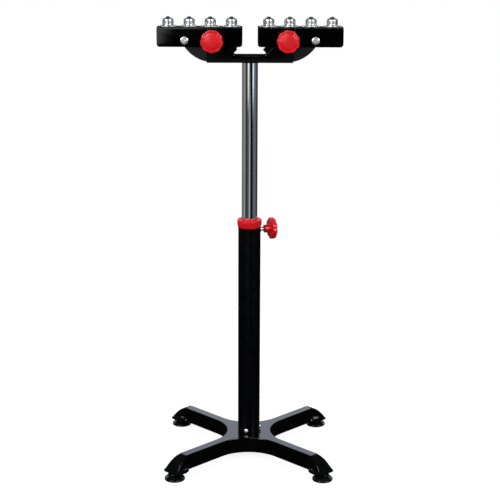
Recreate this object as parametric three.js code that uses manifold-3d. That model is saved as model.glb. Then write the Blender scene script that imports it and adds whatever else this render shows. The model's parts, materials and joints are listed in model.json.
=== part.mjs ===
// Roller stand: two tilting arms with ball rollers on a telescopic column and a cast cross base.
// Millimetres, +Z up. The origin is on the floor under the column's axis, +X runs along the arms,
// and the knobs of the arms are on the -Y side.

import * as THREE from "three";
import { mergeVertices } from "three/addons/utils/BufferGeometryUtils.js";
import Module from "manifold-3d";

const wasm = await Module();
wasm.setup();

// Clearances
const gap = 0.3;
const sideGap = 0.5;
const overrun = 2;

// Round pieces: sides of a full turn
const rivetSides = 6;
const coarseSides = 12;
const smallSides = 16;
const mediumSides = 20;
const largeSides = 36;

// Base cross
const footReach = 231;
const baseTop = 51;
const castDepth = 35.5;
const castArmWidth = 21;
const crotchRadius = 84;
const castWall = 4.5;
const castRoof = 6;
const hubBossRadius = 34;
const hubBore = 20;
const spigotHeight = 30;
const toeOverhang = 12;
const toeWidth = 44.5;
const toeEdge = 4;
const toeStraight = 24.5;
const noseLength = 39.5;
const crotchSteps = 8;
const lobeSteps = 5;

// Nose of a toe: along its length, down its height and out to its full width
const noseShares = [
  [0, 0, 0],
  [0.15, 0.03, 0.02],
  [0.3, 0.11, 0.19],
  [0.46, 0.24, 0.39],
  [0.61, 0.4, 0.54],
  [0.75, 0.58, 0.66],
  [0.87, 0.77, 0.79],
  [0.96, 0.94, 0.94],
  [1, 1, 1],
];

// Levelling feet
const padDiameter = 45;
const padRim = 3.5;
const padShoulder = 9.5;
const padHeight = 15.2;
const padNeck = 29;
const padEdge = 1.2;
const stemDiameter = 8;
const stemSeat = 5;
const stemTop = 22.5;
const stemHoleRest = 0.7;

// Column
const outerDiameter = 50;
const outerWall = 2;
const outerTop = 550;
const innerDiameter = 35;
const innerWall = 2;
const tubeOverlap = 120;

// Screws at the column's foot
const footScrewCount = 3;
const footScrewTurn = -13.5;
const footScrewRise = 7;
const footScrewDiameter = 6;
const footScrewHead = 10;
const footScrewHeadHeight = 3.5;
const footScrewReach = 9;

// Red collar with its sleeve between the tubes
const collarDiameter = 54.4;
const collarFootDiameter = 51.8;
const collarHeight = 14;
const collarCap = 3;
const collarRound = 2.2;
const collarLipDiameter = 42;
const collarLipRise = 3;
const collarSleeve = 50;

// Guide at the lower end of the inner tube
const guideHeight = 20;
const guideLip = 3;

// Clamp of the column
const clampDrop = 22;
const clampTurn = 20;
const clampScrewDiameter = 8;
const clampNutDiameter = 11;
const clampNutFlange = 13;
const clampNutFlangeHeight = 1;
const clampKnobReach = 35;
const clampScrewGrip = 12;

// Lobed knobs
const knobDiameter = 49;
const knobLobes = 9;
const knobLobeDepth = 1.5;
const knobPointsPerLobe = 6;
const knobHubDiameter = 18;
const knobHubHeight = 13;
const knobRimHeight = 11;
const knobRound = 3;
const knobCrown = 1.6;
const knobBoreDepth = 15;
const leftKnobTurn = 28;
const rightKnobTurn = 20;

// Head bracket
const bracketUnderside = 902;
const bracketSheet = 3;
const bracketWaist = 15.5;
const bracketEarRadius = 12;
const earSteps = 8;
const plugHeight = 20;
const headBoltDiameter = 10;
const headBoltGrip = 16;
const hexFlats = 16;
const hexHeadHeight = 6.4;

// Pivots of the arms
const pivotReach = 81.5;
const pivotRise = 48;
const pivotDiameter = 10;
const pivotSleeveDiameter = 16;
const pivotWasherDiameter = 24;
const pivotWasherHeight = 2;
const pivotHeadDiameter = 20;
const pivotHeadHeight = 5;
const pivotScrewGrip = 12;

// Channels of the arms
const channelLength = 183.5;
const channelInnerEnd = 16.5;
const channelWidth = 50;
const channelHeight = 41;
const channelSheet = 2.5;
const channelBend = 3.2;
const channelCorner = 6.5;
const channelPivotDrop = 27.5;
const bendSteps = 4;
const cornerSteps = 5;

// Wings: plates that carry the pivots and stop the arms
const wingSheet = 3;
const wingToeReach = 52;
const wingArcRadius = 77;
const wingArcCentreOut = -4;
const wingArcCentreUp = 30;
const wingCrown = 18;
const wingShelf = 13;
const wingBeadHeight = 17;
const wingBeadRise = 7;
const wingBeadSize = 3;
const wingArcSteps = 12;
const wingCrownSteps = 5;

// Stop bolts of the arms
const stopReach = 59;
const stopDiameter = 10;
const stopSleeveDiameter = 15;
const stopNutHeight = 8;
const stopTail = 2.5;

// Ball units
const ballPitch = 45.5;
const ballMargin = 23.5;
const ballDiameter = 15.9;
const ballTop = 22.2;
const cupDiameter = 24;
const cupHeight = 18.6;
const cupShoulder = 5;
const cupLip = 1;
const cupBaseDiameter = 31;
const cupBaseHeight = 3.5;
const cupFillet = 2.4;
const flangeLength = 41;
const flangeWidth = 31;
const flangeSheet = 1.6;
const rivetSpacing = 33;
const rivetDiameter = 4;
const rivetHead = 6.6;
const rivetHeadHeight = 1.8;
const rivetTail = 6;
const rivetTailHeight = 1.4;
const shoulderSteps = 2;
const socketSteps = 4;
const ballRings = 8;

// Places that follow from the sizes above
const castBottom = baseTop - castDepth;
const outerRadius = outerDiameter / 2;
const outerBore = outerRadius - outerWall;
const innerRadius = innerDiameter / 2;
const innerBottom = outerTop - tubeOverlap;
const clampHeight = outerTop - clampDrop;
const innerBore = innerRadius - innerWall;
const pivotHeight = bracketUnderside + pivotRise;
const bracketWidth = channelWidth - 2 * (channelSheet + sideGap);
const bracketInside = bracketWidth - 2 * bracketSheet;
const channelInside = channelWidth - 2 * channelSheet;
const webUnder = channelPivotDrop - channelSheet;
const wingOuter = bracketInside / 2 - gap;
const wingInner = wingOuter - wingSheet;

// Finishes
const finishes = {
  blackPaint: { color: 0x0b0c10, roughness: 0.28, metalness: 0.1 },
  blackPlastic: { color: 0x131315, roughness: 0.5, metalness: 0 },
  redPlastic: { color: 0xd01c22, roughness: 0.35, metalness: 0 },
  chrome: { color: 0xc9ced2, roughness: 0.08, metalness: 1 },
  zinc: { color: 0xb9bdbf, roughness: 0.3, metalness: 0.9 },
  steel: { color: 0xd8dcde, roughness: 0.12, metalness: 1 },
};

// Solid with merged corners and faces that point out, from a closed geometry
function solidOf(geometry) {
  const bare = new THREE.BufferGeometry();
  bare.setAttribute("position", geometry.getAttribute("position"));
  bare.setIndex(geometry.index);
  const merged = mergeVertices(bare);
  const places = merged.getAttribute("position").array;
  const corners = merged.index.array;
  const triangles = [];
  let volume = 0;
  const [a, b, c] = [new THREE.Vector3(), new THREE.Vector3(), new THREE.Vector3()];
  for (let i = 0; i < corners.length; i += 3) {
    const [p, q, r] = corners.slice(i, i + 3);
    if (p === q || q === r || r === p) continue;
    triangles.push([p, q, r]);
    a.fromArray(places, 3 * p);
    b.fromArray(places, 3 * q);
    c.fromArray(places, 3 * r);
    volume += a.dot(b.cross(c));
  }
  if (volume < 0) triangles.forEach((triangle) => triangle.reverse());
  const mesh = new wasm.Mesh({
    numProp: 3,
    vertProperties: new Float32Array(places),
    triVerts: new Uint32Array(triangles.flat()),
  });
  return new wasm.Manifold(mesh);
}

// Geometry of a solid, for a mesh
function geometryOf(solid) {
  const mesh = solid.getMesh();
  const geometry = new THREE.BufferGeometry();
  geometry.setAttribute("position", new THREE.BufferAttribute(new Float32Array(mesh.vertProperties), 3));
  geometry.setIndex(new THREE.BufferAttribute(new Uint32Array(mesh.triVerts), 1));
  geometry.computeVertexNormals();
  return geometry;
}

// Solid turned about +Z from an outline of [radius, height] pairs
function turned(outline, sides) {
  const points = outline.map(([radius, height]) => new THREE.Vector2(radius, height));
  const onAxis = outline[0][0] === 0;
  if (!onAxis) points.push(points[0].clone());
  return solidOf(new THREE.LatheGeometry(points, sides).rotateX(Math.PI / 2));
}

// Upright rod and upright tube, from one height to another
function rod(radius, low, high, sides) {
  return turned([[0, low], [radius, low], [radius, high], [0, high]], sides);
}

function tube(radius, bore, low, high, sides) {
  return turned([[bore, low], [radius, low], [radius, high], [bore, high]], sides);
}

// Upright prism of an outline of [x, y] pairs
function prism(outline, low, high) {
  const shape = new THREE.Shape(outline.map(([x, y]) => new THREE.Vector2(x, y)));
  const geometry = new THREE.ExtrudeGeometry(shape, { depth: high - low, bevelEnabled: false });
  return solidOf(geometry.translate(0, 0, low));
}

// Plate of an outline of [x, z] pairs that stands across Y, from one side to the other
function plate(outline, near, far) {
  const shape = new THREE.Shape(outline.map(([x, z]) => new THREE.Vector2(x, z)));
  const geometry = new THREE.ExtrudeGeometry(shape, { depth: far - near, bevelEnabled: false });
  return solidOf(geometry.rotateX(Math.PI / 2).translate(0, far, 0));
}

// Box between two corners
function block([x0, y0, z0], [x1, y1, z1]) {
  const geometry = new THREE.BoxGeometry(x1 - x0, y1 - y0, z1 - z0);
  return solidOf(geometry.translate((x0 + x1) / 2, (y0 + y1) / 2, (z0 + z1) / 2));
}

// Solid laid through rings of equally many [x, y, z] points
function loft(rings) {
  const count = rings[0].length;
  const places = rings.flat(2);
  const middle = (ring) => [0, 1, 2].map((k) => ring.reduce((sum, point) => sum + point[k], 0) / count);
  const first = rings.length * count;
  const last = first + 1;
  places.push(...middle(rings[0]), ...middle(rings[rings.length - 1]));
  const faces = [];
  for (let i = 0; i < count; i += 1) {
    const j = (i + 1) % count;
    for (let k = 0; k < rings.length - 1; k += 1) {
      const [low, high] = [k * count, (k + 1) * count];
      faces.push(low + i, low + j, high + j, low + i, high + j, high + i);
    }
    const end = (rings.length - 1) * count;
    faces.push(first, j, i, last, end + i, end + j);
  }
  const geometry = new THREE.BufferGeometry();
  geometry.setAttribute("position", new THREE.Float32BufferAttribute(places, 3));
  geometry.setIndex(faces);
  return solidOf(geometry);
}

// Points on an arc, from one angle to another in degrees
function arc(x, y, radius, from, to, steps) {
  return Array.from({ length: steps + 1 }, (unused, i) => {
    const angle = THREE.MathUtils.degToRad(from + ((to - from) * i) / steps);
    return [x + radius * Math.cos(angle), y + radius * Math.sin(angle)];
  });
}

// Regular hexagon over its flats
function hexagon(flats) {
  return arc(0, 0, flats / Math.sqrt(3), 30, 330, 5);
}

const across = [90, 0, 0];
const quarterTurns = [0, 90, 180, 270];

// Base: four cast arms that drop round at the toes, with a spigot for the column
function baseCross() {
  const half = castArmWidth / 2;
  const toeHalf = toeWidth / 2;
  const end = footReach + toeOverhang;
  const lobeCentre = end - toeStraight;
  const lobeStart = lobeCentre - toeHalf;
  const noseStart = end - noseLength;
  const corner = half + crotchRadius;
  const quarter = [[lobeCentre, -half], [lobeCentre, half]];
  quarter.push(...arc(corner, corner, crotchRadius, 270, 180, crotchSteps));
  const plan = quarterTurns.flatMap((turn) => {
    const angle = THREE.MathUtils.degToRad(turn);
    const [c, s] = [Math.cos(angle), Math.sin(angle)];
    return quarter.map(([x, y]) => [c * x - s * y, s * x + c * y]);
  });

  const noseHeight = castDepth - toeEdge;
  const noseAt = (station) => {
    const along = Math.max(0, (station - noseStart) / noseLength);
    const next = Math.max(1, noseShares.findIndex(([reach]) => reach >= along));
    const [[reach0, drop0, flare0], [reach1, drop1, flare1]] = noseShares.slice(next - 1, next + 1);
    const part = (along - reach0) / (reach1 - reach0);
    const drop = drop0 + (drop1 - drop0) * part;
    const flare = flare0 + (flare1 - flare0) * part;
    return [half + (toeHalf - half) * flare, baseTop - noseHeight * drop];
  };
  const lobeFrom = lobeCentre - Math.sqrt(toeHalf ** 2 - half ** 2);
  const stations = Array.from({ length: lobeSteps }, (unused, i) => {
    return lobeFrom + (lobeCentre - lobeFrom) * (i / lobeSteps) ** 2;
  });
  stations.push(...noseShares.slice(1, -1).map(([reach]) => noseStart + noseLength * reach), end);
  stations.sort((one, other) => one - other);
  const sections = stations.map((station) => {
    const [top, crown] = noseAt(station);
    const inward = Math.max(0, lobeCentre - station);
    const bottom = Math.max(top, Math.sqrt(toeHalf ** 2 - inward ** 2));
    const edge = castBottom + toeEdge;
    return [
      [station, -bottom, castBottom],
      [station, bottom, castBottom],
      [station, bottom, edge],
      [station, top, edge],
      [station, top, crown],
      [station, -top, crown],
      [station, -top, edge],
      [station, -bottom, edge],
    ];
  });
  const toe = loft(sections);
  const roof = baseTop - castRoof;
  const pocketHalf = half - castWall;
  const pocket = block([hubBossRadius, -pocketHalf, castBottom - overrun], [lobeStart, pocketHalf, roof]);
  const stemHole = rod(stemDiameter / 2 + gap, castBottom - overrun, stemTop + stemHoleRest, smallSides);

  const trimmed = block([noseStart, -toeHalf, castBottom - overrun], [end + overrun, toeHalf, baseTop + overrun]);
  let solid = prism(plan, castBottom, baseTop);
  for (const turn of quarterTurns) {
    solid = solid.subtract(trimmed.rotate([0, 0, turn]));
    solid = solid.add(toe.rotate([0, 0, turn]));
    solid = solid.subtract(pocket.rotate([0, 0, turn]));
    solid = solid.subtract(stemHole.translate([footReach, 0, 0]).rotate([0, 0, turn]));
  }
  solid = solid.rotate([0, 0, 45]);
  solid = solid.add(rod(outerBore - gap, baseTop - overrun, baseTop + spigotHeight, largeSides));
  solid = solid.subtract(rod(hubBore / 2, castBottom - overrun, baseTop + spigotHeight + overrun, mediumSides));
  return geometryOf(solid.subtract(footScrewHoles(hubBore / 2, outerBore)));
}

// Holes for the screws at the column's foot, between two radii
function footScrewHoles(near, far) {
  const hole = rod(footScrewDiameter / 2 + gap, near - overrun, far + overrun, coarseSides);
  const placed = footScrewTurns().map((turn) => {
    return hole.rotate([90, 0, turn]).translate([0, 0, baseTop + footScrewRise]);
  });
  return placed.reduce((sum, each) => sum.add(each));
}

// Turns of the foot screws, counted from the side of the knobs
function footScrewTurns() {
  return Array.from({ length: footScrewCount }, (unused, i) => footScrewTurn + (360 / footScrewCount) * i);
}

// Foot: flat disc with a conical top, a thick neck and a socket for its stem
function footPad() {
  const radius = padDiameter / 2;
  return geometryOf(turned([
    [0, 0],
    [radius - padEdge, 0],
    [radius, padEdge],
    [radius, padRim],
    [padNeck / 2, padShoulder],
    [padNeck / 2, padHeight - padEdge],
    [padNeck / 2 - padEdge, padHeight],
    [stemDiameter / 2 + gap, padHeight],
    [stemDiameter / 2 + gap, stemSeat],
    [0, stemSeat],
  ], mediumSides));
}

// Threaded stem of a foot
function footStem() {
  return geometryOf(rod(stemDiameter / 2, stemSeat + gap, stemTop, smallSides));
}

// Outer tube with holes for the foot screws and the clamp
function outerTube() {
  const solid = tube(outerRadius, outerBore, baseTop + gap, outerTop, largeSides);
  const clampHole = alongClamp(rod(clampNutDiameter / 2 + gap, innerRadius, outerRadius + overrun, smallSides));
  return geometryOf(solid.subtract(footScrewHoles(outerBore, outerRadius)).subtract(clampHole));
}

// Screw with a round head that holds the tube on the spigot, along its axis
function footScrew() {
  const shank = footScrewDiameter / 2;
  const seat = outerRadius + gap;
  const head = footScrewHead / 2;
  return geometryOf(turned([
    [0, footScrewReach + gap],
    [shank, footScrewReach + gap],
    [shank, seat],
    [head, seat],
    [head, seat + footScrewHeadHeight / 2],
    [head / 2, seat + footScrewHeadHeight],
    [0, seat + footScrewHeadHeight],
  ], coarseSides));
}

// Turns an upright solid to the axis of the column's clamp
function alongClamp(solid) {
  return solid.rotate([0, 90, clampTurn]).translate([0, 0, clampHeight]);
}

// Collar: cap over the outer tube, with a sleeve that guides the inner tube
function collar() {
  const radius = collarDiameter / 2;
  const capUnder = outerTop + gap;
  const top = capUnder + collarCap;
  const bore = innerRadius + gap;
  const sleeve = outerBore - gap;
  const solid = turned([
    [bore, outerTop - collarSleeve],
    [sleeve, outerTop - collarSleeve],
    [sleeve, capUnder],
    [outerRadius + gap, capUnder],
    [outerRadius + gap, outerTop - collarHeight],
    [collarFootDiameter / 2, outerTop - collarHeight],
    [radius, outerTop - collarHeight / 4],
    [radius, top - collarRound],
    [radius - collarRound / 3, top - collarRound / 3],
    [radius - collarRound, top],
    [collarLipDiameter / 2, top],
    [bore + collarCap / 3, top + collarLipRise],
    [bore, top + collarLipRise],
  ], largeSides);
  const hole = alongClamp(rod(clampNutDiameter / 2 + gap, innerBore, outerRadius, smallSides));
  return geometryOf(solid.subtract(hole));
}

// Threaded insert in the tube's wall for the clamp's screw, along its axis
function clampNut() {
  const bore = clampScrewDiameter / 2 + gap;
  const body = clampNutDiameter / 2;
  const seat = outerRadius + gap;
  return geometryOf(turned([
    [bore, innerRadius + 2 * gap],
    [body, innerRadius + 2 * gap],
    [body, seat],
    [clampNutFlange / 2, seat],
    [clampNutFlange / 2, seat + clampNutFlangeHeight],
    [bore, seat + clampNutFlangeHeight],
  ], smallSides));
}

// Screw of the clamp, from the inner tube into its knob
function clampScrew() {
  const end = clampKnobReach + clampScrewGrip;
  return geometryOf(rod(clampScrewDiameter / 2, innerRadius + gap, end, smallSides));
}

// Lobed knob on a hub, with a blind bore, its hub's face at height 0
function knob(screwDiameter) {
  const points = knobLobes * knobPointsPerLobe;
  const radius = knobDiameter / 2;
  const hub = knobHubDiameter / 2;
  const top = knobHubHeight + knobRimHeight;
  const ring = (size, height, lobeShare) => Array.from({ length: points }, (unused, i) => {
    const angle = (2 * Math.PI * i) / points;
    const wave = (1 - Math.cos(knobLobes * angle)) / 2;
    const reach = size - knobLobeDepth * wave * lobeShare;
    return [reach * Math.cos(angle), reach * Math.sin(angle), height];
  });
  const solid = loft([
    ring(hub, 0, 0),
    ring(hub, knobHubHeight, 0),
    ring(radius - knobRound, knobHubHeight, 1),
    ring(radius, knobHubHeight + knobRound, 1),
    ring(radius, top - knobRound, 1),
    ring(radius - knobRound, top, 1),
    ring(radius / 2, top + knobCrown, 0),
  ]);
  return geometryOf(solid.subtract(rod(screwDiameter / 2 + gap, -overrun, knobBoreDepth, smallSides)));
}

// Inner tube
function innerTube() {
  return geometryOf(tube(innerRadius, innerBore, innerBottom, bracketUnderside - gap, largeSides));
}

// Plastic guide round the inner tube's lower end
function innerGuide() {
  const low = innerBottom - gap;
  return geometryOf(turned([
    [innerBore, low - guideLip],
    [outerBore - gap, low - guideLip],
    [outerBore - gap, innerBottom + guideHeight],
    [innerRadius + gap, innerBottom + guideHeight],
    [innerRadius + gap, low],
    [innerBore, low],
  ], largeSides));
}

// Plug in the inner tube's upper end, threaded for the head bolt
function headPlug() {
  const top = bracketUnderside - gap;
  return geometryOf(tube(innerBore - gap, headBoltDiameter / 2 + gap, top - plugHeight, top, mediumSides));
}

// Bolt that holds the bracket on the plug
function headBolt() {
  const seat = bracketUnderside + bracketSheet + gap;
  const shank = rod(headBoltDiameter / 2, bracketUnderside - headBoltGrip, seat + gap, smallSides);
  return geometryOf(shank.add(prism(hexagon(hexFlats), seat, seat + hexHeadHeight)));
}

// Bracket: channel with two ears on each plate and sides at 45 degrees between them
function headBracket() {
  const waist = bracketUnderside + bracketWaist;
  const tangent = bracketEarRadius * Math.SQRT1_2;
  const rise = pivotHeight + tangent - waist;
  const right = arc(pivotReach, pivotHeight, bracketEarRadius, 0, 135, earSteps);
  const shoulder = [pivotReach - tangent - rise, waist];
  const half = [[pivotReach + bracketEarRadius, bracketUnderside], ...right, shoulder];
  const mirrored = half.map(([x, z]) => [-x, z]).reverse();
  const outside = plate([...half, ...mirrored], -bracketWidth / 2, bracketWidth / 2);
  const length = pivotReach + bracketEarRadius + overrun;
  const floor = bracketUnderside + bracketSheet;
  const top = pivotHeight + bracketEarRadius + overrun;
  const inside = block([-length, -bracketInside / 2, floor], [length, bracketInside / 2, top]);
  const boltHole = rod(headBoltDiameter / 2 + gap, bracketUnderside - overrun, floor + overrun, smallSides);
  let solid = outside.subtract(inside).subtract(boltHole);
  for (const side of [-1, 1]) {
    const hole = rod(pivotDiameter / 2 + gap, -bracketWidth, bracketWidth, smallSides).rotate(across);
    solid = solid.subtract(hole.translate([side * pivotReach, 0, pivotHeight]));
  }
  return geometryOf(solid);
}

// Wing plate about its pivot: flat and sloped stops above, a shelf for the stop bolt, an arc below
function wing(side, face) {
  const stop = webUnder - gap;
  const floor = gap + bracketSheet - pivotRise;
  const shelf = -stopSleeveDiameter / 2 - gap;
  const onArc = (up) => {
    const rise = up - wingArcCentreUp;
    return wingArcCentreOut + Math.sqrt(wingArcRadius ** 2 - rise ** 2);
  };
  const angleAt = (up) => {
    const out = onArc(up) - wingArcCentreOut;
    return THREE.MathUtils.radToDeg(Math.atan2(up - wingArcCentreUp, out));
  };
  const outline = [
    ...arc(0, 0, stop, 135, 90, wingCrownSteps),
    [wingCrown, stop],
    [stopReach - wingShelf, shelf],
    ...arc(wingArcCentreOut, wingArcCentreUp, wingArcRadius, angleAt(shelf), angleAt(floor), wingArcSteps),
    [-wingToeReach * Math.SQRT2 - floor, floor],
    [-(wingToeReach + stop) * Math.SQRT1_2, -(wingToeReach - stop) * Math.SQRT1_2],
  ];
  const placed = outline.map(([out, up]) => [side * out, up]);
  const [near, far] = face < 0 ? [-wingOuter, -wingInner] : [wingInner, wingOuter];
  const hole = rod(pivotDiameter / 2 + gap, -bracketWidth, bracketWidth, smallSides).rotate(across);
  const beadStart = bracketEarRadius + gap;
  const section = arc(0, 0, wingBeadSize, 0, 90, cornerSteps);
  const bead = [[0, -gap], [wingBeadSize, -gap], ...section, [0, wingBeadSize]];
  const beadPlan = bead.map(([out, off]) => [side * (beadStart + out), face * (wingOuter + off)]);
  const beadLow = floor + wingBeadRise;
  const weld = prism(beadPlan, beadLow, beadLow + wingBeadHeight);
  return geometryOf(plate(placed, near, far).add(weld).subtract(hole));
}

// Sleeve between the wings, round the pivot
function pivotSleeve() {
  const reach = wingInner - gap;
  return geometryOf(tube(pivotSleeveDiameter / 2, pivotDiameter / 2 + gap, -reach, reach, smallSides));
}

// Channel of an arm about its pivot, its outer end towards +X, with holes for the ball units' rivets
function armChannel() {
  const low = channelPivotDrop - channelHeight;
  const start = channelInnerEnd - pivotReach;
  const end = start + channelLength;
  const half = channelWidth / 2;
  const inner = channelInside / 2;
  const innerBend = channelBend - channelSheet;
  const bendHeight = channelPivotDrop - channelBend;
  const outside = [
    [half, low],
    ...arc(half - channelBend, bendHeight, channelBend, 0, 90, bendSteps),
    ...arc(channelBend - half, bendHeight, channelBend, 90, 180, bendSteps),
    [-half, low],
    [-inner, low],
    ...arc(channelBend - half, bendHeight, innerBend, 180, 90, bendSteps),
    ...arc(half - channelBend, bendHeight, innerBend, 90, 0, bendSteps),
    [inner, low],
  ];
  const profile = prism(outside.map(([y, z]) => [y, z]), start, end);
  const lying = profile.rotate([90, 0, 90]);
  const corners = [
    [start, channelPivotDrop + overrun],
    ...arc(start + channelCorner, low + channelCorner, channelCorner, 180, 270, cornerSteps),
    ...arc(end - channelCorner, low + channelCorner, channelCorner, 270, 360, cornerSteps),
    [end, channelPivotDrop + overrun],
  ];
  let solid = lying.intersect(plate(corners, -channelWidth, channelWidth));
  const pivotHole = rod(pivotDiameter / 2 + gap, -channelWidth, channelWidth, smallSides).rotate(across);
  const stopHole = rod(stopDiameter / 2 + gap, -channelWidth, channelWidth, smallSides).rotate(across);
  solid = solid.subtract(pivotHole).subtract(stopHole.translate([stopReach, 0, 0]));
  const rivetHole = rod(rivetDiameter / 2 + gap, webUnder - overrun, channelPivotDrop + overrun, rivetSides);
  for (const place of ballPlaces()) {
    for (const offset of [-rivetSpacing / 2, rivetSpacing / 2]) {
      solid = solid.subtract(rivetHole.translate([place + offset, 0, 0]));
    }
  }
  return geometryOf(solid);
}

// Places of the ball units along an arm, out from its pivot
function ballPlaces() {
  const first = channelInnerEnd + ballMargin - pivotReach;
  const span = channelLength - 2 * ballMargin;
  const spaces = Math.floor((span + gap) / ballPitch);
  return Array.from({ length: spaces + 1 }, (unused, i) => first + (span / spaces) * i);
}

// Pivot bolt along its axis: mushroom head behind, screw end in the knob
function pivotBolt() {
  const radius = pivotDiameter / 2;
  const seat = channelWidth / 2 + gap;
  const front = channelWidth / 2 + pivotWasherHeight + 3 * gap + pivotScrewGrip;
  const head = pivotHeadDiameter / 2;
  return geometryOf(turned([
    [0, -front],
    [radius, -front],
    [radius, seat],
    [head, seat],
    [head, seat + pivotHeadHeight / 3],
    [head * Math.SQRT1_2, seat + pivotHeadHeight * Math.SQRT1_2],
    [0, seat + pivotHeadHeight],
  ], smallSides));
}

// Washer under the knob of a pivot
function pivotWasher() {
  const low = channelWidth / 2 + gap;
  const high = low + pivotWasherHeight;
  return geometryOf(tube(pivotWasherDiameter / 2, pivotDiameter / 2 + gap, low, high, mediumSides));
}

// Stop bolt along its axis: hexagon head behind, end past the nut in front
function stopBolt() {
  const seat = channelWidth / 2 + gap;
  const front = seat + stopNutHeight + stopTail;
  const shank = rod(stopDiameter / 2, -front, seat + gap, smallSides);
  return geometryOf(shank.add(prism(hexagon(hexFlats), seat, seat + hexHeadHeight)));
}

// Nut of a stop bolt, in front of the channel
function stopNut() {
  const seat = channelWidth / 2 + gap;
  const solid = prism(hexagon(hexFlats), seat, seat + stopNutHeight);
  return geometryOf(solid.subtract(rod(stopDiameter / 2 + gap, 0, 2 * seat, smallSides)));
}

// Sleeve round a stop bolt, between the channel's walls
function stopSleeve() {
  const reach = channelInside / 2 - gap;
  return geometryOf(tube(stopSleeveDiameter / 2, stopDiameter / 2 + gap, -reach, reach, smallSides));
}

// Ball unit without its ball: oval flange with two rivets, and a cup with a socket, its underside at 0
function ballCup() {
  const ballRadius = ballDiameter / 2;
  const centre = ballTop - ballRadius;
  const socketAngle = THREE.MathUtils.radToDeg(Math.asin((cupHeight - centre) / (ballRadius + gap)));
  const halfStep = THREE.MathUtils.degToRad((socketAngle + 90) / socketSteps / 2);
  const socket = (ballRadius + gap) / Math.cos(halfStep);
  const radius = cupDiameter / 2;
  const lipRadius = Math.sqrt(socket ** 2 - (cupHeight - centre) ** 2);
  const baseRadius = cupBaseDiameter / 2;
  const shoulderWidth = radius - lipRadius - cupLip;
  const shoulder = arc(0, 0, 1, 0, 90, shoulderSteps).map(([across1, up1]) => {
    return [lipRadius + cupLip + shoulderWidth * across1, cupHeight - cupShoulder + cupShoulder * up1];
  });
  const lipAngle = THREE.MathUtils.radToDeg(Math.atan2(cupHeight - centre, lipRadius));
  const socketArc = arc(0, centre, socket, lipAngle, -90, socketSteps).slice(0, -1);
  const cup = turned([
    [0, 0],
    [baseRadius, 0],
    [baseRadius, cupBaseHeight - cupFillet / 2],
    [radius, cupBaseHeight + cupFillet],
    ...shoulder,
    ...socketArc,
    [0, centre - socket],
  ], smallSides);
  const ear = (flangeLength - flangeWidth) / 2;
  const earRadius = flangeWidth / 2;
  const oval = [...arc(ear, 0, earRadius, -90, 90, smallSides / 2), ...arc(-ear, 0, earRadius, 90, 270, smallSides / 2)];
  let solid = cup.add(prism(oval, 0, flangeSheet));
  const shank = rivetDiameter / 2;
  const under = -channelSheet - 2 * gap;
  const rivet = turned([
    [0, under - rivetTailHeight],
    [rivetTail / 2, under - rivetTailHeight],
    [rivetTail / 2, under],
    [shank, under],
    [shank, flangeSheet / 2],
    [rivetHead / 2, flangeSheet / 2],
    [rivetHead / 2, flangeSheet + rivetHeadHeight / 2],
    [rivetHead / 4, flangeSheet + rivetHeadHeight],
    [0, flangeSheet + rivetHeadHeight],
  ], rivetSides);
  for (const offset of [-rivetSpacing / 2, rivetSpacing / 2]) {
    solid = solid.add(rivet.translate([offset, 0, 0]));
  }
  return geometryOf(solid);
}

// Ball about its centre
function ball() {
  return geometryOf(solidOf(new THREE.SphereGeometry(ballDiameter / 2, coarseSides, ballRings)));
}

// Mesh with a name, a shape, a finish and a place
function piece(name, geometry, finish, position = [0, 0, 0], turn = [0, 0, 0]) {
  const mesh = new THREE.Mesh(geometry, new THREE.MeshStandardMaterial(finishes[finish]));
  mesh.name = name;
  mesh.position.set(...position);
  mesh.rotation.set(...turn.map(THREE.MathUtils.degToRad), "ZYX");
  return mesh;
}

const stand = new THREE.Group();

// Base with its feet
stand.add(piece("base_cross", baseCross(), "blackPaint"));
const corners = [["front_left", -1, -1], ["front_right", 1, -1], ["back_left", -1, 1], ["back_right", 1, 1]];
for (const [corner, sideways, back] of corners) {
  const foot = new THREE.Group();
  foot.position.set(sideways * footReach * Math.SQRT1_2, back * footReach * Math.SQRT1_2, 0);
  foot.add(piece(`foot_pad_${corner}`, footPad(), "blackPlastic"));
  foot.add(piece(`foot_stem_${corner}`, footStem(), "zinc"));
  stand.add(foot);
}

// Column
stand.add(piece("outer_tube", outerTube(), "blackPaint"));
footScrewTurns().forEach((turn, i) => {
  const name = `foot_screw_${i + 1}`;
  stand.add(piece(name, footScrew(), "zinc", [0, 0, baseTop + footScrewRise], [90, 0, turn]));
});
stand.add(piece("collar", collar(), "redPlastic"));
const clamp = new THREE.Group();
clamp.position.set(0, 0, clampHeight);
clamp.rotation.set(0, Math.PI / 2, THREE.MathUtils.degToRad(clampTurn), "ZYX");
clamp.add(piece("clamp_nut", clampNut(), "zinc"));
clamp.add(piece("clamp_screw", clampScrew(), "zinc"));
clamp.add(piece("clamp_knob", knob(clampScrewDiameter), "redPlastic", [0, 0, clampKnobReach]));
stand.add(clamp);
stand.add(piece("inner_tube", innerTube(), "chrome"));
stand.add(piece("inner_guide", innerGuide(), "blackPlastic"));

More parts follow.
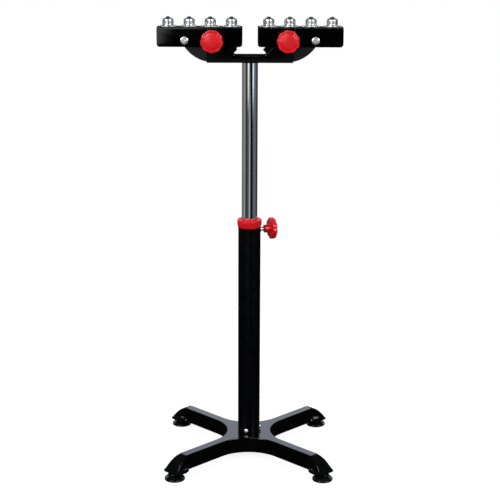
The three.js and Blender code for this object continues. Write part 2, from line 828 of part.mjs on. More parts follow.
// Head
stand.add(piece("head_plug", headPlug(), "zinc"));
stand.add(piece("head_bolt", headBolt(), "zinc"));
stand.add(piece("head_bracket", headBracket(), "blackPaint"));
for (const [name, side, knobTurn] of [["left", -1, leftKnobTurn], ["right", 1, rightKnobTurn]]) {
  const pivot = new THREE.Group();
  pivot.position.set(side * pivotReach, 0, pivotHeight);
  pivot.add(piece(`wing_${name}_front`, wing(side, -1), "blackPaint"));
  pivot.add(piece(`wing_${name}_back`, wing(side, 1), "blackPaint"));
  pivot.add(piece(`pivot_sleeve_${name}`, pivotSleeve(), "zinc", [0, 0, 0], across));
  pivot.add(piece(`arm_channel_${name}`, armChannel(), "blackPaint", [0, 0, 0], [0, 0, side < 0 ? 180 : 0]));
  pivot.add(piece(`pivot_bolt_${name}`, pivotBolt(), "zinc", [0, 0, 0], [-90, 0, 0]));
  pivot.add(piece(`pivot_washer_${name}`, pivotWasher(), "zinc", [0, 0, 0], across));
  const knobSeat = channelWidth / 2 + pivotWasherHeight + 2 * gap;
  pivot.add(piece(`pivot_knob_${name}`, knob(pivotDiameter), "redPlastic", [0, -knobSeat, 0], [90, -knobTurn, 0]));
  const stop = [side * stopReach, 0, 0];
  pivot.add(piece(`stop_bolt_${name}`, stopBolt(), "zinc", stop, [-90, 0, 0]));
  pivot.add(piece(`stop_nut_${name}`, stopNut(), "zinc", stop, across));
  pivot.add(piece(`stop_sleeve_${name}`, stopSleeve(), "zinc", stop, across));
  ballPlaces().forEach((place, i) => {
    const unit = new THREE.Group();
    unit.position.set(side * place, 0, channelPivotDrop + gap);
    unit.add(piece(`ball_cup_${name}_${i + 1}`, ballCup(), "zinc"));
    unit.add(piece(`ball_${name}_${i + 1}`, ball(), "steel", [0, 0, ballTop - ballDiameter / 2]));
    pivot.add(unit);
  });
  stand.add(pivot);
}

export default stand;
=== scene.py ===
import json
import math
import bmesh
import bpy
from mathutils import Matrix, Vector


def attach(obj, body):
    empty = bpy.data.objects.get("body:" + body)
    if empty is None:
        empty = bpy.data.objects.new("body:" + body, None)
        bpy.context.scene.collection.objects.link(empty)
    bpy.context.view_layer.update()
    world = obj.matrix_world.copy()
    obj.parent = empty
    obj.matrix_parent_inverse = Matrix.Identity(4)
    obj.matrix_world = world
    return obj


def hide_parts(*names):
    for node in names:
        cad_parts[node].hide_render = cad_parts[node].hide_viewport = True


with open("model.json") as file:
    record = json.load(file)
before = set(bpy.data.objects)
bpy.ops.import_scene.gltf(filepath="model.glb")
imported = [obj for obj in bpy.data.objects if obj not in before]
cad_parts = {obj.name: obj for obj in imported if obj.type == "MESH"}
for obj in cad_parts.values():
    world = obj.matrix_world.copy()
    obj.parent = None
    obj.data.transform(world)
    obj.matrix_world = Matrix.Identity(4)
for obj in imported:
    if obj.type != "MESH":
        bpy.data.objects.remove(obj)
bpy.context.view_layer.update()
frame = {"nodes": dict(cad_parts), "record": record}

# Camera: it stands in front of the arms' knobs, above the head, and looks down on the base.
# The camera, room and floor are in metres. The stand is drawn in millimetres and scaled when it is fitted.
scene = bpy.context.scene
scene.view_settings.view_transform = "Standard"

lens = bpy.data.cameras.new("camera")
lens.sensor_width = 36
lens.lens = 97.7
lens.shift_x = 0.0013
camera = bpy.data.objects.new("camera", lens)
camera_distance, camera_height, look_down, camera_lean = 2.945, 1.245, 14.53, 0.19
camera_place = Matrix.Translation((0, -camera_distance, camera_height))
camera_tilt = Matrix.Rotation(math.radians(90 - look_down), 4, "X")
camera_roll = Matrix.Rotation(math.radians(camera_lean), 4, "Z")
camera.matrix_world = camera_place @ camera_tilt @ camera_roll
scene.collection.objects.link(camera)
scene.camera = camera


# Studio: a room that is white to the camera. Gloss and metal see it dim, with a wall, a door, a window and
# soft boxes that draw the chrome tube's stripes. Two square lamps light the stand from left and right,
# and the floor is a pale sheet that keeps a faint shadow.
class Wire:
    """A shader value. Sums and products of wires and numbers are Math nodes."""

    def __init__(self, tree, socket):
        self.tree = tree
        self.socket = socket

    def math(self, operation, first, second=0.0):
        return self.tree.node("Math", {"operation": operation}, {0: first, 1: second})

    def __add__(self, other):
        return self.math("ADD", self, other)

    def __radd__(self, other):
        return self.math("ADD", other, self)

    def __sub__(self, other):
        return self.math("SUBTRACT", self, other)

    def __rsub__(self, other):
        return self.math("SUBTRACT", other, self)

    def __mul__(self, other):
        return self.math("MULTIPLY", self, other)

    def __rmul__(self, other):
        return self.math("MULTIPLY", other, self)

    def __abs__(self):
        return self.math("ABSOLUTE", self)

    def higher(self, other):
        return self.math("MAXIMUM", self, other)

    def other(self, name):
        """Another output of the same node."""
        return Wire(self.tree, self.socket.node.outputs[name])

    def fade(self, start, stop, low=0.0, high=1.0):
        """Smooth step from low to high as this value goes from start to stop."""
        ends = {"Value": self, "From Min": start, "From Max": stop, "To Min": low, "To Max": high}
        return self.tree.node("MapRange", {"interpolation_type": "SMOOTHSTEP"}, ends)


class Tree:
    """The nodes of a material or of the world."""

    def __init__(self, owner):
        owner.use_nodes = True
        self.nodes = owner.node_tree.nodes
        self.links = owner.node_tree.links
        self.nodes.clear()

    def node(self, kind, settings=None, sockets=None, output=0):
        """Adds a node: its settings first, then the values or wires of its sockets. Gives one output."""
        made = self.nodes.new("ShaderNode" + kind)
        for name, value in (settings or {}).items():
            setattr(made, name, value)
        for name, value in (sockets or {}).items():
            if isinstance(value, Wire):
                self.links.new(value.socket, made.inputs[name])
            elif made.inputs[name].type == "RGBA":
                made.inputs[name].default_value = (*value, 1)
            else:
                made.inputs[name].default_value = value
        return Wire(self, made.outputs[output]) if made.outputs else None

    def blend(self, factor, first, second):
        """Mixes two colours."""
        return self.node("Mix", {"data_type": "RGBA"}, {0: factor, 6: first, 7: second}, 2)


world = bpy.data.worlds.new("studio")
scene.world = world
room = Tree(world)
direction = room.node("SeparateXYZ", sockets={0: room.node("TexCoord", output="Generated")})
towards_camera = direction.other("Y") * -1
azimuth = direction.math("ARCTAN2", direction, towards_camera) * math.degrees(1)
elevation = direction.math("ARCSINE", direction.other("Z")) * math.degrees(1)


def panel(centre, half, edge, level=1.0):
    """Upright strip of the room, in degrees from the camera's side, with soft edges."""
    return abs(azimuth - centre).fade(half, half + edge, level, 0)


def band(start, full, fading, stop):
    """Level stripe of the room between elevations in degrees, with soft edges."""
    return elevation.fade(start, full) * elevation.fade(fading, stop, 1, 0)


low_wall = panel(-82, 8, 20, 0.31)
for strip in (panel(-125, 20, 20, 0.17), panel(-27, 14, 12, 0.07), panel(78, 12, 38, 0.15)):
    low_wall = low_wall.higher(strip)
low_wall = low_wall.higher(abs(azimuth).fade(142, 165, 0, 0.5) * elevation.fade(-4, 1, 1, 0.06))
low_wall = low_wall * elevation.fade(-18, -14.5, 0.25, 1)
door = panel(-1, 5, 10, 0.45) * elevation.fade(-9.6, -6.0, 1, 0)
left_box, right_box = panel(-20, 9, 4), panel(50, 10, 4)
soft_boxes = left_box.higher(right_box) * elevation.fade(-9.0, -7.4)
window_slant, window_level = 0.87, 1.5
window_edge = (elevation * window_slant - azimuth).fade(-1.5, -0.7) * azimuth.fade(-3.9, -3.15, 1, 0)
window = window_edge * azimuth.fade(-16, -12) * elevation.fade(-6.65, -6.2) * window_level
low_wall = low_wall.higher(door).higher(soft_boxes).higher(window)
cool_side = azimuth.fade(10, 50)
wall_tint = room.blend(cool_side, (1, 1, 1), (0.86, 0.95, 1.16))
wall_colour = room.node("VectorMath", {"operation": "MULTIPLY"}, {0: low_wall, 1: wall_tint})
ceiling = (0.07, 0.074, 0.082)
back_wall = (1.3, 1.4, 1.65)
behind = abs(azimuth).fade(105, 135) * band(11, 15, 26, 34)
mirrored = room.blend(behind, room.blend(elevation.fade(8, 16), wall_colour, ceiling), back_wall)
box_fronts = (left_box * elevation.fade(-4, 0)).higher(right_box * elevation.fade(4, 8))
box_fronts = box_fronts * elevation.fade(38, 44, 1, 0)
strip_light = panel(-9, 5, 3) * band(14, 20, 40, 50)
side_fronts = panel(-42, 10, 5).higher(panel(46, 12, 5)) * band(8, 12, 36, 42)
for front, level in ((box_fronts, 3), (strip_light, 5), (side_fronts, 7)):
    mirrored = room.blend(front, mirrored, (level, level, level))
path = room.node("LightPath")
in_metal = path.other("Is Glossy Ray").higher(path.other("Is Transmission Ray"))
dim_white, white = (0.8, 0.8, 0.8), (1, 1, 1)
seen = room.blend(path.other("Is Camera Ray"), room.blend(in_metal, dim_white, mirrored), white)
room.node("OutputWorld", sockets={"Surface": room.node("Background", sockets={"Color": seen})})


lamp_size, lit_place = 0.8, (0, 0, 0.6)


def soft_light(name, place, power):
    """Square area lamp at a place, turned to the middle of the column."""
    lamp = bpy.data.lights.new(name, "AREA")
    lamp.size = lamp_size
    lamp.energy = power
    holder = bpy.data.objects.new(name, lamp)
    holder.location = place
    holder.rotation_euler = (Vector(lit_place) - Vector(place)).to_track_quat("-Z", "Y").to_euler()
    scene.collection.objects.link(holder)


soft_light("key_light", (-2.0, -2.5, 2.1), 42)
soft_light("fill_light", (2.1, -2.5, 2.0), 26)

floor_radius, floor_glow, glow_share = 2.2, 1.2, 0.72
floor_shape = bmesh.new()
bmesh.ops.create_circle(floor_shape, cap_ends=True, radius=floor_radius, segments=96)
floor_mesh = bpy.data.meshes.new("floor")
floor_shape.to_mesh(floor_mesh)
floor_shape.free()
floor = bpy.data.objects.new("floor", floor_mesh)
scene.collection.objects.link(floor)
floor_finish = bpy.data.materials.new("pale_floor")
sheet = Tree(floor_finish)
dim_sheet = sheet.node("BsdfDiffuse", sockets={"Color": (0.02, 0.02, 0.021)})
lit_sheet = sheet.node("BsdfDiffuse", sockets={"Color": dim_white})
white_sheet = sheet.node("Emission", sockets={"Color": white, "Strength": floor_glow})
shown_sheet = sheet.node("MixShader", sockets={0: glow_share, 1: lit_sheet, 2: white_sheet})
floor_path = sheet.node("LightPath", output="Is Camera Ray")
sheet.node("OutputMaterial", sockets={
    "Surface": sheet.node("MixShader", sockets={0: floor_path, 1: dim_sheet, 2: shown_sheet}),
})
floor_mesh.materials.append(floor_finish)


# Base cross: one iron casting of four arms round a hub, with pockets below and a spigot for the column.
# The arms drop round at the toes, which widen to carry the feet. It is sprayed with glossy black paint.
def on_arc(x, y, radius, start, stop, steps):
    """Points on an arc, from one angle to another in degrees."""
    angles = [math.radians(start + (stop - start) * i / steps) for i in range(steps + 1)]
    return [(x + radius * math.cos(angle), y + radius * math.sin(angle)) for angle in angles]


def drawn(sections):
    """Shape drawn through sections of equally many points, by one extrusion after another."""
    made = bmesh.new()
    corners = [made.verts.new(point) for point in sections[0]]
    face = made.faces.new(corners)
    for section in sections[1:]:
        order = [vertex.co.copy() for vertex in corners]
        pulled = bmesh.ops.extrude_face_region(made, geom=[face])["geom"]
        face = next(item for item in pulled if isinstance(item, bmesh.types.BMFace))
        fresh = [item for item in pulled if isinstance(item, bmesh.types.BMVert)]
        corners = [min(fresh, key=lambda vertex: (vertex.co - place).length) for place in order]
        for corner, point in zip(corners, section):
            corner.co = point
    bmesh.ops.recalc_face_normals(made, faces=made.faces[:])
    return made


def slab(outline, low, high):
    """Upright shape of a plan outline of (x, y) pairs, from one height to another."""
    return drawn([[(x, y, height) for x, y in outline] for height in (low, high)])


def turned(outline, steps, closed=False):
    """Shape of an outline of (radius, height) pairs, spun about Z. A closed one is a ring."""
    made = bmesh.new()
    points = [made.verts.new((radius, 0, height)) for radius, height in outline]
    for first, second in zip(points, points[1:] + points[:1] if closed else points[1:]):
        made.edges.new((first, second))
    bmesh.ops.spin(made, geom=made.verts[:] + made.edges[:], cent=(0, 0, 0), axis=(0, 0, 1),
                   angle=math.tau, steps=steps, use_merge=True, use_duplicate=False)
    bmesh.ops.remove_doubles(made, verts=made.verts[:], dist=1e-4)
    bmesh.ops.recalc_face_normals(made, faces=made.faces[:])
    return made


def rod(radius, low, high, steps):
    """Plain upright cylinder."""
    return turned([(0, low), (radius, low), (radius, high), (0, high)], steps)


def moved(shape, *places):
    """The shape after each of these matrices in turn."""
    for place in places:
        bmesh.ops.transform(shape, matrix=place, verts=shape.verts[:])
    bmesh.ops.recalc_face_normals(shape, faces=shape.faces[:])
    return shape


def shift(x, y, z):
    return Matrix.Translation((x, y, z))


def turn(angle, axis):
    return Matrix.Rotation(math.radians(angle), 4, axis)


def together(*shapes):
    """One shape that holds them all."""
    held = bpy.data.meshes.new("held")
    made = bmesh.new()
    for shape in shapes:
        shape.to_mesh(held)
        made.from_mesh(held)
        shape.free()
    bpy.data.meshes.remove(held)
    return made


def copies(shape, places):
    """A copy of the shape at each of these matrices, as one shape."""
    return together(*[moved(shape.copy(), place) for place in places])


sharp_angle = 34


def worked(shape, *steps):
    """Shape after modifiers: steps are ("BEVEL", width, segments) or (boolean operation, other shape)."""
    work = bpy.data.objects.new("work", bpy.data.meshes.new("work"))
    shape.to_mesh(work.data)
    shape.free()
    scene.collection.objects.link(work)
    for kind, *rest in steps:
        tool = None
        if kind == "BEVEL":
            change = work.modifiers.new("bevel", "BEVEL")
            change.width, change.segments = rest
            change.limit_method = "ANGLE"
            change.angle_limit = math.radians(sharp_angle)
        else:
            tool = bpy.data.objects.new("tool", bpy.data.meshes.new("tool"))
            rest[0].to_mesh(tool.data)
            rest[0].free()
            scene.collection.objects.link(tool)
            change = work.modifiers.new("cut", "BOOLEAN")
            change.operation = kind
            change.solver = "EXACT"
            change.object = tool
        bpy.context.view_layer.update()
        graph = bpy.context.evaluated_depsgraph_get()
        mesh = bpy.data.meshes.new_from_object(work.evaluated_get(graph))
        work.modifiers.clear()
        work.data = mesh
        if tool:
            bpy.data.objects.remove(tool)
    made = bmesh.new()
    made.from_mesh(work.data)
    bpy.data.objects.remove(work)
    bmesh.ops.remove_doubles(made, verts=made.verts[:], dist=1e-3)
    bmesh.ops.dissolve_degenerate(made, edges=made.edges[:], dist=1e-3)
    return made


record = frame["record"]
body_of = {node: body for body, nodes in record["behaviour"]["bodies"].items() for node in nodes}
to_metres = Matrix.Scale(0.001, 4)


def fit(node, shape, finish, sharp=sharp_angle):
    """Puts a finished shape in the place of a CAD node, on its body and with the given finish."""
    mesh = bpy.data.meshes.new(node + "_fine")
    moved(shape, to_metres).to_mesh(mesh)
    shape.free()
    mesh.materials.append(finish)
    mesh.shade_smooth()
    mesh.set_sharp_from_angle(angle=math.radians(sharp))
    piece = bpy.data.objects.new(node + "_fine", mesh)
    scene.collection.objects.link(piece)
    even = piece.modifiers.new("even_normals", "WEIGHTED_NORMAL")
    even.keep_sharp = True
    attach(piece, body_of[node])
    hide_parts(node)


def grain(tree, scale, detail, stretch=(1, 1, 1)):
    """Noise on the piece, its scale in grains per metre."""
    place = tree.node("Mapping", sockets={0: tree.node("TexCoord", output="Object"), "Scale": stretch})
    return tree.node("TexNoise", sockets={"Vector": place, "Scale": scale, "Detail": detail})


def relief(tree, height, depth):
    """Small bumps of a height wire, their depth in metres."""
    return tree.node("Bump", sockets={"Height": height, "Distance": depth})


def coated(tree, sockets):
    """Ends a material's tree in one principled shader."""
    tree.node("OutputMaterial", sockets={"Surface": tree.node("BsdfPrincipled", sockets=sockets)})


def black_paint(name, dark, light, shine, ripple, depth, level):
    """Sprayed black paint: cloudy colour, uneven shine and the ripple of the sprayed coat."""
    finish = bpy.data.materials.new(name)
    tree = Tree(finish)
    cloud = grain(tree, 45, 4)
    coat = grain(tree, ripple, 2)
    dust = grain(tree, ripple * 9, 1)
    coated(tree, {
        "Base Color": tree.blend(cloud.fade(0.3, 0.7), dark, light),
        "Roughness": cloud.fade(0.25, 0.75, shine * 0.85, shine * 1.2),
        "Specular IOR Level": level,
        "Normal": relief(tree, coat + 0.25 * dust, depth),
    })
    return finish


base_top, cast_bottom, arm_half, crotch_radius = 51, 15.5, 10.5, 84
toe_end, toe_half, toe_edge, nose_length, toe_straight = 243, 22.25, 4, 39.5, 24.5
lobe_centre = toe_end - toe_straight
plate_height, corner_round, nose_round, foot_round = 3, 1.3, 2.8, 0.8
fillet_rise, rise_share, fillet_lift, fillet_lean, round_share = 13, 0.6, 0.1, 0.12, 0.35
lobe_from = lobe_centre - math.sqrt(toe_half ** 2 - arm_half ** 2)
nose_start = toe_end - nose_length
# Shares of a toe's nose: along its length, down its height and out to its full width
nose_shares = [
    (0, 0, 0), (0.15, 0.03, 0.02), (0.3, 0.11, 0.19), (0.46, 0.24, 0.39), (0.61, 0.4, 0.54),
    (0.75, 0.58, 0.66), (0.87, 0.77, 0.79), (0.96, 0.94, 0.94), (1, 1, 1),
]


def nose_at(along, column):
    """Smooth value of one column of the nose's shares, at a share of its length."""
    rows = [(-0.15, 0, 0)] + nose_shares + [(1.04, 1.06, 1.06)]
    after = next(i for i in range(2, len(rows) - 1) if rows[i][0] >= along or i == len(rows) - 2)
    before, start, stop, beyond = rows[after - 2:after + 2]
    span = stop[0] - start[0]
    rise_in = (stop[column] - before[column]) / (stop[0] - before[0]) * span
    rise_out = (beyond[column] - start[column]) / (beyond[0] - start[0]) * span
    t = min(1, max(0, (along - start[0]) / span))
    return ((2 * t ** 3 - 3 * t ** 2 + 1) * start[column] + (t ** 3 - 2 * t ** 2 + t) * rise_in
            + (3 * t ** 2 - 2 * t ** 3) * stop[column] + (t ** 3 - t ** 2) * rise_out)


def toe_side(station):
    """One side of a toe's section, as (half width, height) pairs from the bottom up."""
    along = min(1, max(0, (station - nose_start) / nose_length))
    crown = base_top - (base_top - cast_bottom - toe_edge) * nose_at(along, 1)
    top = arm_half + (toe_half - arm_half) * nose_at(along, 2)
    bottom = max(top, math.sqrt(toe_half ** 2 - max(0, lobe_centre - station) ** 2))
    plate = cast_bottom + plate_height
    rise = min(fillet_rise, rise_share * (crown - plate))
    rounding = corner_round + (nose_round - corner_round) * min(1, 2 * along)
    small = min(rounding, round_share * (crown - plate))
    side = [(bottom - foot_round, cast_bottom), (bottom, cast_bottom + foot_round), (bottom, plate)]
    for i in range(1, 7):
        t = i / 6
        swing = 2 * t * (1 - t)
        half = bottom * (1 - t) ** 2 + swing * (top + fillet_lean * (bottom - top)) + top * t ** 2
        side.append((half, plate + rise * (fillet_lift * swing + t ** 2)))
    side += on_arc(top - small, crown - small, small, 0, 90, 5)
    return side


start_side = toe_side(lobe_from)
corner = arm_half + crotch_radius
levels = []
for half, height in start_side:
    quarter = [(lobe_from, -half), (lobe_from, half)]
    quarter += on_arc(corner, corner, corner - half, 270, 180, 24)
    plan = [Matrix.Rotation(k * math.pi / 2, 2) @ Vector(point) for k in range(4) for point in quarter]
    levels.append([(x, y, height) for x, y in plan])
base = drawn(levels)

lobe_steps, nose_steps, station_step = 9, 24, 0.5
lobe_start = math.degrees(math.acos((lobe_centre - lobe_from) / toe_half))
lobe_angles = [lobe_start * (1 - i / lobe_steps) + 90 * i / lobe_steps for i in range(1, lobe_steps + 1)]
stations = [lobe_centre - toe_half * math.cos(math.radians(angle)) for angle in lobe_angles]
stations += [nose_start + nose_length * i / nose_steps for i in range(1, nose_steps + 1)]
stations = sorted({round(station / station_step) * station_step for station in stations})
for quarter_turn in range(4):
    inward = turn(-90 * quarter_turn, "Z")
    outward = turn(90 * quarter_turn, "Z")
    end_faces = [face for face in base.faces if all(
        abs((inward @ vertex.co).x - lobe_from) < 1e-3 for vertex in face.verts)]
    side_now = start_side
    for station in stations:
        side_next = toe_side(station)
        pulled = bmesh.ops.extrude_face_region(base, geom=end_faces)["geom"]
        end_faces = [item for item in pulled if isinstance(item, bmesh.types.BMFace)]
        for vertex in [item for item in pulled if isinstance(item, bmesh.types.BMVert)]:
            here = inward @ vertex.co
            level = min(range(len(side_now)), key=lambda i: math.hypot(
                side_now[i][0] - abs(here.y), side_now[i][1] - here.z))
            half, height = side_next[level]
            vertex.co = outward @ Vector((station, math.copysign(half, here.y), height))
        side_now = side_next
moved(base, turn(45, "Z"))

clearance, overrun = 0.3, 2
foot_reach, stem_radius, stem_top, stem_room = 231, 4, 22.5, 0.7
hub_bore, spigot_radius, spigot_height = 10, 22.7, 30
pocket_half, pocket_top, pocket_start, pocket_end = 6, 45, 38, 196.25
diagonals = [turn(45 + 90 * k, "Z") for k in range(4)]
pocket_plan = on_arc(pocket_start, 0, pocket_half, 90, 270, 12)
pocket_plan += on_arc(pocket_end - pocket_half, 0, pocket_half, -90, 90, 12)
pockets = copies(slab(pocket_plan, cast_bottom - overrun, pocket_top), diagonals)
stem_hole = rod(stem_radius + clearance, cast_bottom - overrun, stem_top + stem_room, 32)
stem_holes = copies(moved(stem_hole, shift(foot_reach, 0, 0)), diagonals)
spigot = rod(spigot_radius, base_top - overrun, base_top + spigot_height, 96)
bore = rod(hub_bore, cast_bottom - overrun, base_top + spigot_height + overrun, 48)
screw_height, screw_radius, screw_turns = 58, 3, (-13.5, 106.5, 226.5)
outer_radius, outer_bore = 25, 23


def screw_holes(near, far):
    """Holes for the screws at the column's foot, between two radii."""
    hole = rod(screw_radius + clearance, near, far, 24)
    places = [shift(0, 0, screw_height) @ turn(angle, "Z") @ turn(90, "X") for angle in screw_turns]
    return copies(hole, places)


spigot_holes = screw_holes(hub_bore - overrun, spigot_radius + overrun)
base = worked(base, ("UNION", spigot), ("DIFFERENCE", pockets), ("DIFFERENCE", stem_holes),
              ("DIFFERENCE", bore), ("DIFFERENCE", spigot_holes))
cast_paint = black_paint("cast_gloss_paint", (0.0004, 0.0004, 0.0006), (0.0012, 0.0012, 0.0016),
                         0.1, 140, 0.00004, 0.35)
fit("base_cross", base, cast_paint)


# Levelling feet: a moulded black disc with a conical top and a thick neck, on a zinc-plated M8 stem.
# The stem screws up into the toe, and its thread shows when the foot is screwed down.
thread_angle = 50


def thread(radius, pitch, low, high, steps=24):
    """Threaded rod: one turn's outline swept up a helix and cut flat at both ends."""
    depth = 0.6 * pitch
    turns = math.ceil((high - low) / pitch) + 2
    made = bmesh.new()
    outline = [(radius - depth, 0), (radius - depth, 0.12), (radius, 0.44), (radius, 0.56),
               (radius - depth, 0.88), (radius - depth, 1)]
    points = [made.verts.new((reach, 0, low - pitch * (1 - up))) for reach, up in outline]
    for first, second in zip(points, points[1:]):
        made.edges.new((first, second))
    bmesh.ops.spin(made, geom=made.verts[:] + made.edges[:], cent=(0, 0, 0), axis=(0, 0, 1),
                   angle=math.tau * turns, steps=steps * turns, dvec=(0, 0, pitch / steps),
                   use_merge=False, use_duplicate=False)
    bmesh.ops.remove_doubles(made, verts=made.verts[:], dist=1e-4)
    for height, side in ((low, -1), (high, 1)):
        parts = made.verts[:] + made.edges[:] + made.faces[:]
        bmesh.ops.bisect_plane(made, geom=parts, dist=1e-5, plane_co=(0, 0, height),
                               plane_no=(0, 0, side), clear_outer=True)
        rim = [edge for edge in made.edges if edge.is_boundary and all(
            abs(vertex.co.z - height) < 1e-3 for vertex in edge.verts)]
        bmesh.ops.contextual_create(made, geom=rim)
    bmesh.ops.recalc_face_normals(made, faces=made.faces[:])
    return made


def moulded(name, dark, light, shine, pit):
    """Moulded plastic with the fine grain of its mould."""
    finish = bpy.data.materials.new(name)
    tree = Tree(finish)
    cloud = grain(tree, 60, 3)
    pits = grain(tree, pit, 2)
    coated(tree, {
        "Base Color": tree.blend(cloud.fade(0.3, 0.7), dark, light),
        "Roughness": cloud.fade(0.2, 0.8, shine * 0.85, shine * 1.15),
        "Specular IOR Level": 0.35,
        "Normal": relief(tree, pits, 0.00006),
    })
    return finish


def plated(name, colour, stain, shine, spangle, depth):
    """Zinc or bright plating: mottled colour and shine over faint tool marks."""
    finish = bpy.data.materials.new(name)
    tree = Tree(finish)
    mottle = grain(tree, spangle, 4)
    marks = grain(tree, spangle * 5, 2)
    coated(tree, {
        "Metallic": 1.0,
        "Base Color": tree.blend(mottle.fade(0.3, 0.7), stain, colour),
        "Roughness": mottle.fade(0.25, 0.75, shine * 1.3, shine * 0.8),
        "Normal": relief(tree, marks, depth),
    })
    return finish


foot_plastic = moulded("foot_plastic", (0.0012, 0.0012, 0.0013), (0.0025, 0.0025, 0.0028), 0.2, 1500)
zinc = plated("zinc_plating", (0.66, 0.67, 0.68), (0.48, 0.49, 0.5), 0.34, 160, 0.00003)
pad_radius, pad_rim, pad_shoulder, pad_neck, pad_height = 22.5, 3.5, 9.5, 14.5, 15.2
sole_step, sole_radius, rim_round, top_round, stem_seat, stem_pitch = 0.6, 18, 1, 1.6, 5, 1.25
pad_outline = [(0, sole_step), (sole_radius, sole_step), (sole_radius + sole_step, 0)]
pad_outline += on_arc(pad_radius - rim_round, rim_round, rim_round, -90, 0, 4)
pad_outline += on_arc(pad_radius - top_round, pad_rim - 0.6, top_round, 0, 62, 4)
pad_outline += [(pad_neck + 3.6, pad_shoulder - 1.5), (pad_neck + 1.2, pad_shoulder - 0.4),
                (pad_neck, pad_shoulder + 0.6)]
pad_outline += on_arc(pad_neck - rim_round, pad_height - rim_round, rim_round, 0, 90, 4)
pad_outline += [(stem_radius + clearance, pad_height), (stem_radius + clearance, stem_seat), (0, stem_seat)]
foot_aside = foot_reach * math.sqrt(0.5)
sides = ((-1, "left"), (1, "right"))
for sideways, side_name in sides:
    for back, depth_name in ((-1, "front"), (1, "back")):
        foot_place = shift(sideways * foot_aside, back * foot_aside, 0)
        corner_name = depth_name + "_" + side_name
        fit("foot_pad_" + corner_name, moved(turned(pad_outline, 72), foot_place), foot_plastic)
        stem = thread(stem_radius, stem_pitch, stem_seat + clearance, stem_top)
        fit("foot_stem_" + corner_name, moved(stem, foot_place), zinc, thread_angle)


# Outer tube: welded steel tube, 50 mm across with a 2 mm wall, cut square and sprayed satin black.
# It stands on the hub, over the spigot, with holes for three screws at its foot and for the clamp's insert.
outer_foot, outer_top, tube_ease = 51.3, 550, 0.4
clamp_height, clamp_turn, insert_radius = 528, 20, 5.5
inner_radius = 17.5
clamp_axis = shift(0, 0, clamp_height) @ turn(clamp_turn, "Z") @ turn(90, "Y")


def tube_outline(radius, bore_radius, low, high, rings=()):
    """Wall of a tube with eased ends, with extra rings at some heights of its outside."""
    foot, top = low + tube_ease, high - tube_ease
    outline = [(bore_radius, foot), (bore_radius + tube_ease, low), (radius - tube_ease, low)]
    outline += [(radius, height) for height in (foot, *rings, top)]
    return outline + [(radius - tube_ease, high), (bore_radius + tube_ease, high), (bore_radius, top)]


screw_ring, insert_ring = 4.4, 6
outer_rings = (screw_height - screw_ring, screw_height + screw_ring,
               clamp_height - insert_ring, clamp_height + insert_ring)
outer_wall = tube_outline(outer_radius, outer_bore, outer_foot, outer_top, outer_rings)
outer_tube = turned(outer_wall, 128, closed=True)
insert_hole = moved(rod(insert_radius + clearance, inner_radius, outer_radius + overrun, 32), clamp_axis)
outer_tube = worked(outer_tube, ("DIFFERENCE", insert_hole),
                    ("DIFFERENCE", screw_holes(outer_bore - overrun, outer_radius + overrun)))
satin_paint = black_paint("satin_tube_paint", (0.0004, 0.0005, 0.0010), (0.0009, 0.0010, 0.0018),
                          0.3, 320, 0.00002, 0.1)
fit("outer_tube", outer_tube, satin_paint)

# Screws at the column's foot: three zinc-plated M6 button heads with a hexagon socket.
# They pass through the tube's wall into the spigot.
head_radius, head_height, head_edge, screw_reach, socket_flats, socket_floor = 5, 3.5, 1, 9, 4, 1.4
head_seat = outer_radius + clearance


def hexagon(flats):
    """Corners of a regular hexagon over its flats."""
    return on_arc(0, 0, flats / math.sqrt(3), 30, 330, 5)


def dome(radius, low, height, angles):
    """Points up the outline of a dome, at angles in degrees from its edge to its crown."""
    return [(radius * math.cos(math.radians(a)), low + height * math.sin(math.radians(a))) for a in angles]


button = [(0, screw_reach + clearance), (screw_radius, screw_reach + clearance), (screw_radius, head_seat),
          (head_radius - 0.3, head_seat), (head_radius, head_seat + 0.3),
          (head_radius, head_seat + head_edge)]
button += dome(head_radius, head_seat + head_edge, head_height - head_edge, (15, 30, 45, 60, 75))
button += [(0, head_seat + head_height)]
for index, angle in enumerate(screw_turns, 1):
    socket = slab(hexagon(socket_flats), head_seat + socket_floor, head_seat + head_height + 1)
    screw = worked(turned(button, 48), ("DIFFERENCE", socket))
    screw = moved(screw, turn(90, "X"), turn(angle, "Z"), shift(0, 0, screw_height))
    fit(f"foot_screw_{index}", screw, zinc)


# Collar: glossy red plastic cap over the outer tube's top, with a guide sleeve down inside it.
# Its lip rises as a cone to the chrome tube that slides in it. The red is a little cloudy,
# with faint flow waves from the mould.
red_plastic = bpy.data.materials.new("red_plastic")
gloss = Tree(red_plastic)
cloud = grain(gloss, 70, 4)
waves = grain(gloss, 220, 2)
coated(gloss, {
    "Base Color": gloss.blend(cloud.fade(0.25, 0.75), (0.6, 0.006, 0.012), (0.66, 0.009, 0.016)),
    "Roughness": cloud.fade(0.2, 0.8, 0.22, 0.3),
    "Specular IOR Level": 0.3,
    "Normal": relief(gloss, waves, 0.00002),
})
collar_foot, collar_radius, collar_low, cap_under = 25.9, 27.2, 536, 550.3
cap_top, collar_round, lip_radius, lip_rise, sleeve_low, hole_start = 553.3, 2.2, 21, 3, 500, 14
collar_bore, lip_top = inner_radius + clearance, cap_top + lip_rise
collar_outline = [(collar_bore, sleeve_low), (spigot_radius, sleeve_low), (spigot_radius, cap_under),
                  (outer_radius + clearance, cap_under), (outer_radius + clearance, collar_low)]
collar_outline += on_arc(collar_foot - 0.4, collar_low + 0.4, 0.4, -90, 0, 3)
collar_outline += [(collar_radius - 0.25, 543), (collar_radius, 546.5)]
collar_outline += on_arc(collar_radius - collar_round, cap_top - collar_round, collar_round, 0, 90, 8)
collar_outline += [(lip_radius + 1.2, cap_top), (lip_radius + 0.5, cap_top + 0.15),
                   (lip_radius, cap_top + 0.6)]
collar_outline += on_arc(collar_bore + 1.2, lip_top - 0.7, 0.7, 30, 90, 3)
